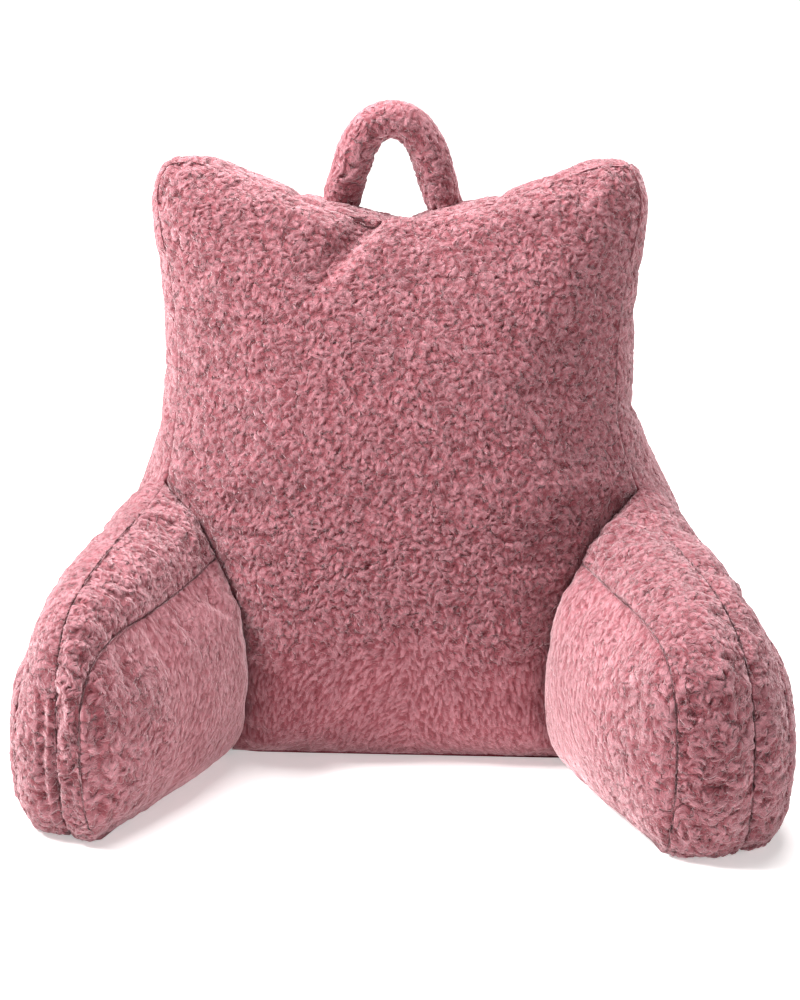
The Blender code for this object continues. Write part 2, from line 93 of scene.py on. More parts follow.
# %% [markdown]
# ## Colours and nodes
#
# Dye charts give colours as sRGB hex, and shaders work in linear light, so one function turns the one
# into the other. A second one adds a shader node together with its settings and its links, which keeps
# a finish readable from top to bottom.

# %% Colours and nodes


def linear(hex_colour):
    """An sRGB hex colour as the linear RGBA that shaders work in."""
    values = [int(hex_colour[k:k + 2], 16) / 255 for k in (1, 3, 5)]
    return (*[v / 12.92 if v <= 0.04045 else ((v + 0.055) / 1.055) ** 2.4 for v in values], 1.0)


def add_node(tree, kind, settings=None, links=None):
    """Add one node with its settings, and link or set its inputs by name or number."""
    node = tree.nodes.new(kind)
    for name, value in (settings or {}).items():
        setattr(node, name, value)
    for name, value in (links or {}).items():
        if isinstance(value, bpy.types.NodeSocket):
            tree.links.new(value, node.inputs[name])
        else:
            node.inputs[name].default_value = value
    return node


# %% [markdown]
# ## Studio floor
#
# A painted floor would go grey away from the lamps. This one has a faint light of its own, as a lit
# table has: low at the pillow, so that it still takes a soft shadow, and nearly white farther off. It
# is wide enough for its edge to be lost in the white surround.

# %% Floor
FLOOR_COLOUR = "#f6f4f3"
FLOOR_ROUGHNESS = 0.9
FLOOR_GLOW = (0.42, 0.98)    # at the pillow, and farther off
GLOW_REACH = (0.45, 1.5)     # metres from the pillow over which it grows
FLOOR_SIZE = 60.0
FLOOR_DROP = 0.0002          # keeps the floor clear of the pillow's underside
WHITE = (1.0, 1.0, 1.0, 1.0)


def floor_paint():
    """Matt white paint that glows more the farther it is from the pillow."""
    material = bpy.data.materials.new("painted_floor")
    material.use_nodes = True
    tree = material.node_tree
    shader = tree.nodes["Principled BSDF"]
    shader.inputs["Base Color"].default_value = linear(FLOOR_COLOUR)
    shader.inputs["Roughness"].default_value = FLOOR_ROUGHNESS
    shader.inputs["Emission Color"].default_value = WHITE
    where = add_node(tree, "ShaderNodeTexCoord").outputs["Object"]
    away = add_node(tree, "ShaderNodeVectorMath", {"operation": "LENGTH"}, {0: where}).outputs["Value"]
    glow = add_node(tree, "ShaderNodeMapRange", {"interpolation_type": "SMOOTHSTEP"},
                    {"Value": away, "From Min": GLOW_REACH[0], "From Max": GLOW_REACH[1],
                     "To Min": FLOOR_GLOW[0], "To Max": FLOOR_GLOW[1]})
    tree.links.new(glow.outputs["Result"], shader.inputs["Emission Strength"])
    return material


def studio_floor():
    half = FLOOR_SIZE / 2
    corners = [(-half, -half), (half, -half), (half, half), (-half, half)]
    mesh = bpy.data.meshes.new("floor")
    mesh.from_pydata([(x, y, -FLOOR_DROP) for x, y in corners], [], [(0, 1, 2, 3)])
    mesh.materials.append(floor_paint())
    floor = bpy.data.objects.new("floor", mesh)
    bpy.context.scene.collection.objects.link(floor)


studio_floor()
print("floor:", FLOOR_SIZE, "m wide")

# %% [markdown]
# ## Studio light
#
# A soft key lamp high on the left gives the crown of each panel its shade. A wide one above and behind
# lights the arms' tops, and a weak one on the right keeps that side from going dull. The surround is
# dim as a light and white to the camera: as bright as it looks, it would wash out the gaps between the
# tufts.

# %% Lamps and surround
# name, azimuth, elevation, distance, size, watts
LAMPS = (
    ("key", -80, 46, 2.2, 0.7, 97),
    ("top", 170, 76, 2.2, 1.5, 90),
    ("right", 82, 20, 2.6, 1.6, 10),
)


def studio_lamp(name, azimuth, elevation, distance, size, watts):
    data = bpy.data.lights.new(name, "AREA")
    data.size = size
    data.energy = watts
    lamp = bpy.data.objects.new(name, data)
    lamp.location = round_the_aim(radians(azimuth), radians(elevation), distance)
    lamp.rotation_euler = (AIM - lamp.location).to_track_quat("-Z", "Y").to_euler()
    bpy.context.scene.collection.objects.link(lamp)


SURROUND = 0.13              # how bright the surround is as a light


def white_surround():
    world = bpy.data.worlds.new("surround")
    bpy.context.scene.world = world
    world.use_nodes = True
    tree = world.node_tree
    tree.nodes.clear()
    seen = add_node(tree, "ShaderNodeLightPath").outputs["Is Camera Ray"]
    level = add_node(tree, "ShaderNodeMapRange", links={"Value": seen, "To Min": SURROUND, "To Max": 1.0})
    glow = add_node(tree, "ShaderNodeBackground",
                    links={"Color": WHITE, "Strength": level.outputs["Result"]})
    add_node(tree, "ShaderNodeOutputWorld", links={"Surface": glow.outputs["Background"]})


white_surround()
for lamp in LAMPS:
    studio_lamp(*lamp)
print("lamps:", [lamp[0] for lamp in LAMPS])

# %% [markdown]
# ## From a solid to a skin
#
# A panel's solid has one curved side, which is the cloth, and flat sides where it meets its neighbours
# inside the pillow. A side is hidden when it lies on the floor, or when a neighbour's face lies right
# against it and looks back at it. Nearness alone would also pick the cloth beside a seam.

# %% Hidden sides
AGAINST = 0.8 * MM       # a face this near to a neighbour's is inside a seam
FACING = -0.8            # how squarely the two look at each other
ON_FLOOR = 0.5 * MM


def neighbours_tree(node):
    """All the other panels as one tree to measure distances to."""
    points, faces = [], []
    for name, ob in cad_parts.items():
        if name in (node, "handle"):
            continue
        first = len(points)
        points += [v.co.copy() for v in ob.data.vertices]
        faces += [[first + i for i in p.vertices] for p in ob.data.polygons]
    return BVHTree.FromPolygons(points, faces)


def is_hidden(face, tree):
    """Whether a face lies against a neighbour's face that looks back at it, or flat on the floor."""
    middle = face.calc_center_median()
    if middle.z < ON_FLOOR:
        return True
    return any(hit[1].dot(face.normal) < FACING for hit in tree.find_nearest_range(middle, AGAINST))


# %% [markdown]
# ## From a solid to a skin: the grid
#
# The frame brings a solid in as loose triangles. Remeshing in voxels would round off the seams, and the
# curved side is already an even grid, so the triangles are welded and paired back into squares
# instead. The edges between the cloth and the hidden sides are the seams: they are creased, and their
# corners pinned, so that subdivision keeps them sharp and neighbours still meet.

# %% Weld, pair and crease
WELD = 0.02 * MM
CORNER = radians(140)    # a seam that turns to less than this has a corner


def turns(vert, edges):
    """Whether a seam ends or turns a corner at this point."""
    if len(edges) != 2:
        return True
    one, other = (edge.other_vert(vert).co - vert.co for edge in edges)
    return one.angle(other) < CORNER


def skin_of(node):
    """A welded copy of a panel's solid; its hidden faces wear material slot 1."""
    tree = neighbours_tree(node)
    bm = bmesh.new()
    bm.from_mesh(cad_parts[node].data)
    bmesh.ops.remove_doubles(bm, verts=bm.verts, dist=WELD)
    bm.normal_update()
    for face in bm.faces:
        face.smooth = True
        face.material_index = int(is_hidden(face, tree))
    cloth = [f for f in bm.faces if f.material_index == 0]
    bmesh.ops.join_triangles(bm, faces=cloth, cmp_materials=True,
                             angle_face_threshold=pi, angle_shape_threshold=pi)
    crease = bm.edges.layers.float.new("crease_edge")
    pinned = bm.verts.layers.float.new("crease_vert")
    for edge in bm.edges:
        edge.smooth = True
        if len({f.material_index for f in edge.link_faces}) == 2:
            edge[crease] = 1.0
    for vert in bm.verts:
        edges = [edge for edge in vert.link_edges if edge[crease]]
        if edges and turns(vert, edges):
            vert[pinned] = 1.0
    mesh = bpy.data.meshes.new(node + "_plush")
    bm.to_mesh(mesh)
    squares = sum(len(f.verts) == 4 for f in bm.faces)
    bm.free()
    print(node, len(mesh.polygons), "faces,", squares, "squares,", len(cloth), "cloth triangles")
    ob = bpy.data.objects.new(node + "_plush", mesh)
    bpy.context.scene.collection.objects.link(ob)
    return ob


skins = {node: skin_of(node) for node in sorted(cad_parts)}

# %% [markdown]
# ## A map for each skin
#
# The finish is drawn in 3-D, so it needs no map to look right here. A map is laid out all the same,
# for whoever bakes the pillow into textures. It is made now, while each skin has only a few hundred
# faces and no tufts, because a map cut from a tufted skin would fall into thousands of scraps. The
# cloth gets nearly the whole square, and the hidden faces share a narrow strip under it.

# %% Lay out the maps
MAP_NAME = "OFBake"
HIDDEN_STRIP = 0.05      # share of the map's height under the cloth
STRIP_USED = 0.8         # and how much of that the hidden faces fill
CUT_ANGLE = radians(75)
ISLAND_GAP = 0.01


def project(ob, slot):
    """Lay out the faces that wear one material slot over the whole map."""
    bpy.context.view_layer.objects.active = ob
    ob.data.polygons.foreach_set("select", [p.material_index == slot for p in ob.data.polygons])
    bpy.ops.object.mode_set(mode="EDIT")
    bpy.context.tool_settings.mesh_select_mode = (False, False, True)
    bpy.ops.uv.smart_project(angle_limit=CUT_ANGLE, island_margin=ISLAND_GAP, scale_to_bounds=True)
    bpy.ops.object.mode_set(mode="OBJECT")


def lay_out(ob):
    """The cloth over most of the map, the hidden faces in a strip below it."""
    ob.data.uv_layers.new(name=MAP_NAME)
    faces = ob.data.polygons
    slot = np.repeat([face.material_index for face in faces], [face.loop_total for face in faces])
    laid = np.zeros((len(slot), 2), np.float32)
    for number in (1, 0):
        if number in slot:
            project(ob, number)
            flat = np.empty(len(slot) * 2, np.float32)
            ob.data.uv_layers[MAP_NAME].uv.foreach_get("vector", flat)
            laid[slot == number] = flat.reshape(-1, 2)[slot == number]
    laid[slot == 1, 1] *= HIDDEN_STRIP * STRIP_USED
    laid[slot == 0, 1] = HIDDEN_STRIP + (1 - HIDDEN_STRIP) * laid[slot == 0, 1]
    ob.data.uv_layers[MAP_NAME].uv.foreach_set("vector", laid.ravel())


for skin in skins.values():
    lay_out(skin)
print("maps:", len(skins))

# %% [markdown]
# ## Filling
#
# Foam crumbs press on the cloth from inside, and the seams hold it. The usual way to make that is a
# cloth simulation with pressure and no gravity: the hidden sides and the seams are pinned, the cloth
# between them is let out a little and blown up for twenty frames. It swells past what the real
# filling does, so how far each point may move is capped softly, and what stays is the sag and pull
# between the seams. Every skin is simulated at once, on a grid of about 5 mm.

# %% Subdivide
GRID_LEVELS = 2          # these make the grid of about 5 mm; the handle's solid is finer to start with
HANDLE_LEVELS = 1


def numbers(items, name, width=1):
    """One property of every vertex, edge or face as an array."""
    out = np.empty(len(items) * width, np.float32)
    items.foreach_get(name, out)
    return out.reshape(-1, width) if width > 1 else out


def applied(ob):
    """Keep the mesh as its modifiers leave it, and drop them."""
    graph = bpy.context.evaluated_depsgraph_get()
    mesh = bpy.data.meshes.new_from_object(ob.evaluated_get(graph), preserve_all_data_layers=True,
                                           depsgraph=graph)
    ob.modifiers.clear()
    old, name = ob.data, ob.data.name
    ob.data = mesh
    bpy.data.meshes.remove(old)
    mesh.name = name


def subdivided(ob, levels):
    """Subdivide an object's mesh for good, with its creases, maps and attributes."""
    modifier = ob.modifiers.new("subdivide", "SUBSURF")
    modifier.levels = modifier.render_levels = levels
    applied(ob)


for node, skin in skins.items():
    subdivided(skin, HANDLE_LEVELS if node == "handle" else GRID_LEVELS)
print("points on the simulated grids:", sum(len(skin.data.vertices) for skin in skins.values()))

# %% Pin and fill
PRESSURE = 4.0
LET_OUT = 0.03           # how much longer the cloth is than the solid's surface
STRETCH_STIFFNESS = 12
SHEAR_STIFFNESS = 4
BENDING_STIFFNESS = 0.4
POINT_MASS = 0.3
STEPS_A_FRAME = 5
FRAMES = 20
MOST_MOVED = 5 * MM
PINNED = "pinned"


def cloth_points(mesh):
    """Which vertices lie inside the cloth: off the seams and the hidden sides."""
    free = np.ones(len(mesh.vertices), bool)
    for face in mesh.polygons:
        if face.material_index == 1:
            free[list(face.vertices)] = False
    return free


def pin_and_fill(ob):
    pins = ob.vertex_groups.new(name=PINNED)
    pins.add(np.flatnonzero(~cloth_points(ob.data)).tolist(), 1.0, "REPLACE")
    modifier = ob.modifiers.new("filling", "CLOTH")
    cloth = modifier.settings
    cloth.quality = STEPS_A_FRAME
    cloth.mass = POINT_MASS
    cloth.tension_stiffness = cloth.compression_stiffness = STRETCH_STIFFNESS
    cloth.shear_stiffness = SHEAR_STIFFNESS
    cloth.bending_stiffness = BENDING_STIFFNESS
    cloth.use_pressure = True
    cloth.uniform_pressure_force = PRESSURE
    cloth.shrink_min = -LET_OUT
    cloth.effector_weights.gravity = 0
    cloth.vertex_group_mass = PINNED


def filled(objects):
    """Run the filling of all the skins together, then cap how far each point moved."""
    for ob in objects:
        pin_and_fill(ob)
    scene = bpy.context.scene
    scene.frame_start, scene.frame_end = 1, FRAMES
    for number in range(1, FRAMES + 1):
        scene.frame_set(number)
    graph = bpy.context.evaluated_depsgraph_get()
    for ob in objects:
        start = numbers(ob.data.vertices, "co", 3)
        end = numbers(ob.evaluated_get(graph).data.vertices, "co", 3)
        move = end - start
        length = np.linalg.norm(move, axis=1)[:, None] + 1e-9
        kept = move / length * MOST_MOVED * np.tanh(length / MOST_MOVED)
        ob.modifiers.clear()
        ob.data.vertices.foreach_set("co", (start + kept).ravel())
        ob.data.update()
        print(ob.name, len(start), "points, moved", round(float(length.mean()) / MM, 1), "mm, kept",
              round(float(np.linalg.norm(kept, axis=1).mean()) / MM, 1))
    scene.frame_set(1)


filled(list(skins.values()))

# %% [markdown]
# ## Where the seams are
#
# Pile stands up from the cloth but not from a seam, so each point has to know how far it is from the
# nearest one, and which spot on it that is. Both are measured on the 5 mm grid and stored on the skin,
# and subdivision carries them to the finer grid. On a hidden side the distance counts as negative:
# there it tells how deep the point lies in the seam, and pile stands a little way down into it.

# %% Distance to the seams
FINE_LEVELS = 2          # from the 5 mm grid to about 1 mm


def seam_points(mesh):
    """Which vertices lie on a seam: on the cloth and on a hidden side at once."""
    on_cloth = np.zeros(len(mesh.vertices), bool)
    on_hidden = np.zeros(len(mesh.vertices), bool)
    for face in mesh.polygons:
        (on_hidden if face.material_index else on_cloth)[list(face.vertices)] = True
    return on_cloth & on_hidden, on_cloth


def measure_seams(ob):
    """Store how far each point is from a seam, in mm and negative on hidden sides, and the seam's spot."""
    mesh = ob.data
    points = numbers(mesh.vertices, "co", 3)
    on_seam, on_cloth = seam_points(mesh)
    tree = KDTree(int(on_seam.sum()))
    for number, point in enumerate(points[on_seam]):
        tree.insert(point, number)
    tree.balance()
    found = [tree.find(point) for point in points]
    away = np.array([distance for _, _, distance in found], np.float32) / MM
    store(mesh, "seam_away", np.where(on_cloth, away, -away))
    store(mesh, "seam_nearest", np.array([spot for spot, _, _ in found], np.float32))


def store(mesh, name, values):
    """Keep an array on the mesh's vertices as an attribute."""
    kind, field = ("FLOAT", "value") if values.ndim == 1 else ("FLOAT_VECTOR", "vector")
    attribute = mesh.attributes.get(name) or mesh.attributes.new(name, kind, "POINT")
    attribute.data.foreach_set(field, np.ascontiguousarray(values, np.float32).ravel())


def stored(mesh, name):
    """The array that was kept under that name."""
    attribute = mesh.attributes[name]
    if attribute.data_type == "FLOAT":
        return numbers(attribute.data, "value")
    return numbers(attribute.data, "vector", 3)


for skin in skins.values():
    measure_seams(skin)
    subdivided(skin, FINE_LEVELS)
print("points on the fine skins:", sum(len(skin.data.vertices) for skin in skins.values()))

# %% [markdown]
# ## Noise to shape with
#
# Cloth is uneven everywhere, so every form below is loosened by noise. This one hashes the corners of
# a cubic grid and blends between them, which gives the same soft lumps each time the script is run.
# The salt only sets one pattern apart from another.

# %% Hashed noise
GRID_FACTORS = (73856093, 19349663, 83492791)   # large primes keep neighbouring cells apart
SALT_FACTOR = 2654435761
MIXING = ((16, 0x7FEB352D), (15, 0x846CA68B))   # a shift and a factor for each round
LAST_SHIFT = 16


def hashed(cells, salt):
    """A fixed random number from 0 to 1 for each integer cell."""
    x, y, z = (cells.astype(np.int64).astype(np.uint32) * np.array(GRID_FACTORS, np.uint32)).T
    h = x ^ y ^ z ^ np.uint32(salt * SALT_FACTOR & 0xFFFFFFFF)
    for shift, factor in MIXING:
        h ^= h >> np.uint32(shift)
        h = h * np.uint32(factor)
    h ^= h >> np.uint32(LAST_SHIFT)
    return h.astype(np.float32) / np.float32(2 ** 32)


def noise(points, size, salt=0):
    """Soft lumps from -1 to 1, about size across, in the points' own unit."""
    scaled = points / np.float32(size)
    cell = np.floor(scaled)
    part = scaled - cell
    part = part * part * (3 - 2 * part)
    total = np.zeros(len(points), np.float32)
    for corner in np.ndindex(2, 2, 2):
        corner = np.array(corner)
        weight = np.where(corner, part, 1 - part).prod(axis=1)
        total += weight * hashed(cell + corner, salt)
    return 2 * total - 1


def ramp(values, low, high):
    """0 below low, 1 above high and smooth between; low may be the larger one."""
    t = np.clip((values - low) / (high - low), 0, 1)
    return t * t * (3 - 2 * t)


def between(pair, share):
    """From the pair's first value at a share of 0 to its second at 1."""
    return pair[0] + (pair[1] - pair[0]) * share


def bell(values, middle, width):
    """1 at the middle, falling off to both sides."""
    return np.exp(-((values - middle) / width) ** 2)


def unit(vectors):
    """The same directions, each 1 long."""
    return vectors / (np.linalg.norm(vectors, axis=-1, keepdims=True) + 1e-9)


# %% [markdown]
# ## Tufts
#
# Rabbit-style plush is knitted with a dense pile of about 9 mm that curls and sticks together in small
# locks. From above each lock is a bent leaf, low at its root and high at its tip, lying over the next
# ones, with a dark gap where it ends. Real strands would need millions of faces. So the leaves are
# stamped into the cloth as height: every cell of a jittered grid holds one leaf with its own turn and
# bend, and each point of the cloth keeps the highest leaf that covers it. Brushed places get long
# straight low leaves, the others short curly ones.

# %% Stamp the leaves
SMALL_LOCKS = 5.6          # mm from one lock to the next
BIG_LOCKS = 8.8
# the values in pairs are for brushed pile and for curly pile
LEAF_LONG = (8.0, 5.6)     # half length in mm, for small locks; big ones are longer as they stand wider
LEAF_WIDE = (2.2, 3.1)     # half width in mm
MOST_BEND = (0.02, 0.13)   # per mm
TURN = (0.08, 0.36)        # share of a half turn that a leaf may lie off the nap
STRAY = 0.9                # share of its cell that a leaf's middle may lie in
WIDER_TIP = 0.35           # how much wider a leaf is towards its tip
ROOT_HIGH = 0.28           # a leaf's height at its root
CLIMB = 0.60               # and how much it gains to its tip
OWN_HEIGHT = 0.12          # and how much leaves differ
SINK = 0.55                # how fast a leaf fades that is rooted above or below the cloth
LEAST_WIDE = 0.05          # mm, so that a leaf's very end isn't a division by nothing
UNDER = 0.60               # how high the lower layer stands against the upper one
LOWER_SALT = 20            # sets the lower layer's leaves apart
CHUNK = 30000              # points worked on at a time


def leaves(points, normal, nap, spacing, curl, salt):
    """Per point: the highest leaf's height from 0 to 1, and the way it lies there."""
    best = np.full(len(points), -1.0, np.float32)
    turned = np.zeros(len(points), np.float32)
    across_nap = np.cross(normal, nap)
    long, wide, bend = (between(pair, curl) for pair in (LEAF_LONG, LEAF_WIDE, MOST_BEND))
    turn = pi * between(TURN, curl)
    grow = spacing / SMALL_LOCKS
    base = np.floor(points / spacing)
    for step in np.ndindex(3, 3, 3):
        cell = base + (np.array(step, np.float32) - 1)
        random = [hashed(cell, salt + k) for k in range(6)]
        middle = (cell + 0.5 + STRAY * (np.stack(random[:3], axis=1) - 0.5)) * spacing
        off = points - middle
        lift = (off * normal).sum(axis=1)
        angle = (2 * random[3] - 1) * turn
        x, y = (off * nap).sum(axis=1), (off * across_nap).sum(axis=1)
        along = (x * np.cos(angle) + y * np.sin(angle)) / grow
        across = (y * np.cos(angle) - x * np.sin(angle)) / grow
        curve = (2 * random[4] - 1) * bend
        across -= curve * (along + long) ** 2 / 2
        share = np.clip(along / long, -1, 1)
        edge = wide * np.sqrt(1 - share ** 2) * (1 + WIDER_TIP * share) + LEAST_WIDE
        body = np.clip(1 - (across / edge) ** 4, 0, 1)
        slope = (share + 1) / 2 * (1 - np.maximum(share, 0) ** 6)
        height = body * (ROOT_HIGH + CLIMB * slope + OWN_HEIGHT * random[5]) - SINK * (lift / spacing) ** 2
        higher = (height > best) & (np.abs(along) < long)
        best[higher] = height[higher]
        turned[higher] = (angle + np.arctan(curve * (along + long)))[higher]
    lie = nap * np.cos(turned)[:, None] + across_nap * np.sin(turned)[:, None]
    return np.clip(best, 0, 1), lie


def tufts(points, normal, nap, spacing, curl, salt):
    """Two layers of leaves: the lower ones fill the gaps between the upper ones."""
    height = np.zeros(len(points), np.float32)
    lie = np.zeros((len(points), 3), np.float32)
    parts = [slice(first, first + CHUNK) for first in range(0, len(points), CHUNK)]

    def both_layers(part):
        here = points[part], normal[part], nap[part], spacing, curl[part]
        upper, upper_lie = leaves(*here, salt)
        lower, lower_lie = leaves(*here, salt + LOWER_SALT)
        lower = lower * UNDER
        lie[part] = np.where((upper > lower)[:, None], upper_lie, lower_lie)
        height[part] = np.maximum(upper, lower)

    with ThreadPoolExecutor() as pool:
        list(pool.map(both_layers, parts))
    return height, lie


# %% [markdown]
# ## Pile: curl, locks and depth
#
# Fresh plush is curly all over. Where the sitter's back and the arms rub, it gets brushed flat, and on
# the arms' fronts and inside the handle, where hands take hold, it clumps into big deep locks. Each
# panel starts from its own shares of these, and places on it add to them.

# %% Curl, locks and depth
# node's first word: pile depth in mm where curly, where brushed, share of curl, share of big locks
PILE = {
    "front": (3.4, 1.0, 1.0, 0.0),
    "back": (3.0, 1.4, 0.9, 0.0),
    "gusset": (3.0, 1.3, 0.7, 0.2),
    "arm_band": (3.2, 1.3, 0.8, 0.2),
    "arm_inner": (2.6, 1.0, 0.22, 0.0),
    "arm_outer": (3.0, 1.4, 0.8, 0.2),
    "handle": (3.6, 1.8, 1.0, 0.8),
}
PATCH_SIZE = 45.0                     # mm, how large the patches are that are curlier than the rest
PATCHY = 0.25
LEANED_ON = (85.0, 165.0)             # mm up the front panel: brushed below, curly above
LEANED_WANDER = 25.0
ARM_FRONT_Y = (-130.0, -205.0)        # mm over which the arms' big locks set in, towards the front
ARM_FRONT_Z = (205.0, 170.0)          # and downwards
FRONT_LOCKS = 0.9
FRONT_CURL = 0.6
LOCK_DEPTH = 1.3                      # mm that big locks add to the pile's depth
LOOP_CENTRE = (-24.0, 165.0, 560.0)   # mm, the middle of the handle's loop
LOOP_OUTSIDE = (0.1, 0.75)            # how squarely the handle's cloth looks away from that
LOOP_BRUSHED = 0.75


def family(table, node):
    """The longest of the table's words that the node's name starts with."""
    return max((word for word in table if node.startswith(word)), key=len)


def pile_fields(node, p, normal):
    """Per point: curl from 0 to 1, share of big locks, and depth in mm."""
    curly, brushed, curl_share, big_share = PILE[family(PILE, node)]
    patches = noise(p, PATCH_SIZE, 5)
    curl = np.full(len(p), curl_share, np.float32) + PATCHY * patches
    big = np.full(len(p), big_share, np.float32)
    if node == "front_panel":
        curl = ramp(p[:, 2] + LEANED_WANDER * patches, *LEANED_ON)
    if node.startswith("arm") or node in ("gusset_left", "gusset_right"):
        at_front = ramp(p[:, 1], *ARM_FRONT_Y) * ramp(p[:, 2], *ARM_FRONT_Z)
        big += FRONT_LOCKS * at_front
        curl += FRONT_CURL * at_front
    if node == "handle":
        from_loop = unit((p - np.array(LOOP_CENTRE, np.float32)) * np.array([1, 0, 1], np.float32))
        outside = ramp((normal * from_loop).sum(axis=1), *LOOP_OUTSIDE)
        curl -= LOOP_BRUSHED * outside
        big -= outside
    curl = np.clip(curl, 0, 1)
    big = np.clip(big, 0, 1)
    return curl, big, between((brushed, curly), curl) + LOCK_DEPTH * big


# %% [markdown]
# ## Pile: the nap
#
# The nap is the way the pile lies. Plush is cut with its nap running down, so that a hand strokes it
# smooth from top to bottom, and on the arms it also runs forward. It wanders a little everywhere, and
# where the pile is curly it turns in small whirls.

# %% Nap
# pull of the nap: sideways away from the middle, forward, down
NAP_SIDEWAYS = 0.3
NAP_FORWARD = {"arm_band": 1.0, "arm_inner": 0.6}
NAP_DOWN = 1.0
WANDER = 0.5
WANDER_SIZE = 60.0       # mm
WHIRL = 3.2              # how far the curls turn the nap, against its own pull of 1
WHIRL_SIZE = 17.0        # mm


def drift(p, size, first_salt):
    """Noise in three directions at once."""
    return np.stack([noise(p, size, first_salt + k) for k in range(3)], axis=1)


def nap_of(node, p, normal, curl):
    """The way the pile lies at each point, along the cloth."""
    way = np.zeros_like(p)
    way[:, 2] = -NAP_DOWN
    way[:, 0] = NAP_SIDEWAYS * np.sign(p[:, 0])
    for word, pull in NAP_FORWARD.items():
        if node.startswith(word):
            way[:, 1] = -pull
    way += WANDER * drift(p, WANDER_SIZE, 11)
    way += WHIRL * curl[:, None] * drift(p, WHIRL_SIZE, 14)
    return unit(way - (way * normal).sum(axis=1)[:, None] * normal)


# %% [markdown]
# ## Folds: one gathered arm and one pressed crease
#
# The left arm's front was gathered hard when it was sewn, which leaves upright folds. Below the handle
# the front panel was folded over in its bag, and a slanting crease stayed: steep on its upper side,
# where the cloth laps over it, and fading out downwards. Neither repeats, so each is given its own place.

# %% Upright folds and the crease
FOLD_X = -298.0                # mm, the middle of the gathered place
FOLD_REACH = (46.0, 18.4)      # mm to its sides: where the folds start, where they are full
FOLD_Y = (-130.0, -190.0)
FOLD_FOOT = (8.0, 50.0)        # mm above the floor
FOLD_TOP = (175.0, 120.0)
FOLD_WIDTH = 17.0
FOLD_DEPTH = 3.2
FOLD_WANDER = (8.0, 34.0)      # mm that a fold leaves its line, and over what length
FOLD_BROKEN = (0.75, 0.6, 19.0)   # a fold's usual depth, how much it varies, and over what length
SEAM_HOLDS = 4.0               # mm over which the folds rise from a seam
CREASE_FROM = (-22.0, 548.0)   # x and z in mm
CREASE_TO = (-104.0, 460.0)
CREASE_DEPTH = 9.0
CREASE_FADES = (1.15, 0.2)     # along its length
CREASE_WIDE = (6.0, 17.0)      # mm, its steep side and its slack side
LAP = (0.45, 17.0, 11.0)       # the lap's height against the depth, its place and its width in mm


def upright_folds(p, away):
    """Upright folds down the front of the left arm, deepest half way up."""
    here = ramp(np.abs(p[:, 0] - FOLD_X), *FOLD_REACH) * ramp(p[:, 1], *FOLD_Y)
    here *= ramp(p[:, 2], *FOLD_FOOT) * ramp(p[:, 2], *FOLD_TOP)
    wander = FOLD_WANDER[0] * noise(p, FOLD_WANDER[1], 31)
    usual, varies, length = FOLD_BROKEN
    wave = np.sin(2 * pi * (p[:, 0] + wander) / FOLD_WIDTH) * (usual + varies * noise(p, length, 32))
    return FOLD_DEPTH * wave * here * ramp(away, 0, SEAM_HOLDS)


def pressed_crease(p):
    """The slanting crease below the handle."""
    start, end = np.array(CREASE_FROM), np.array(CREASE_TO)
    run = np.linalg.norm(end - start)
    way = (end - start) / run
    off = p[:, [0, 2]] - start
    side = off @ np.array([-way[1], way[0]])
    depth = CREASE_DEPTH * ramp(off @ way / run, *CREASE_FADES)
    steep, slack = CREASE_WIDE
    trough = bell(side, 0, np.where(side > 0, steep, slack))
    high, place, width = LAP
    return depth * (high * bell(side, place, width) - trough)


# %% [markdown]
# ## Folds: puckers and rows
#
# A seam that is eased in pulls the cloth beside it, unevenly: those are puckers, and they follow the
# seam's own places, so both sides of a seam pull alike. The strips over the arms are longer than the
# seams they are sewn to, so they lie in rows across where they face up.

# %% Puckers and rows
PUCKER = 1.7             # mm
PUCKER_SIZES = (11.0, 6.0)     # mm along the seam
SMALL_PUCKERS = 0.6      # the smaller ones against the larger
PUCKER_REACH = 11.0      # mm from the seam
PUCKER_RISE = 5.0
SLACK = 1.1              # mm, the uneven filling under the cloth
SLACK_SIZE = 34.0
SLACK_RISE = 8.0
FACING_UP = (0.15, 0.6)
ROW_SIZE = 15.0          # mm from one row to the next
ROW_STRETCH = 0.42       # how much longer a row is across the strip than along it
ROW_SHARP = 0.8          # below 1 the rows are round and the gaps between them narrow
ROW_MIDDLE = 0.7
ROW_DEPTH = {"arm_band": 2.3, "gusset": 1.035}   # mm


def gathers(node, p, normal, away, nearest):
    """Folds and puckers of the cloth itself, in mm."""
    rise = ramp(away, 0, SLACK_RISE)
    large, small = PUCKER_SIZES
    pulled = noise(nearest, large, 21) + SMALL_PUCKERS * noise(nearest, small, 22)
    lift = PUCKER * pulled * np.exp(-away / PUCKER_REACH) * ramp(away, 0, PUCKER_RISE)
    lift += SLACK * noise(p, SLACK_SIZE, 23) * rise
    for word, depth in ROW_DEPTH.items():
        if node.startswith(word):
            lying = ramp(normal[:, 2], *FACING_UP)
            stretched = p * np.array([ROW_STRETCH, 1.0, 1.0], np.float32)
            rows = 2 * np.abs(noise(stretched, ROW_SIZE, 24)) ** ROW_SHARP - ROW_MIDDLE
            lift += depth * rows * lying * rise
    if node in ("arm_band_left", "arm_inner_left", "gusset_left"):
        lift += upright_folds(p, away)
    if node == "front_panel":
        lift += pressed_crease(p)
    return lift


# %% [markdown]
# ## The foot
#
# A filled pillow doesn't meet the floor in an edge: the cloth rounds in underneath. The whole foot of
# each panel is drawn in by up to 7 mm, most at the floor. The hidden sides next to a seam have to
# follow their seam, or a gap would open, so each takes the shift of its nearest seam point.

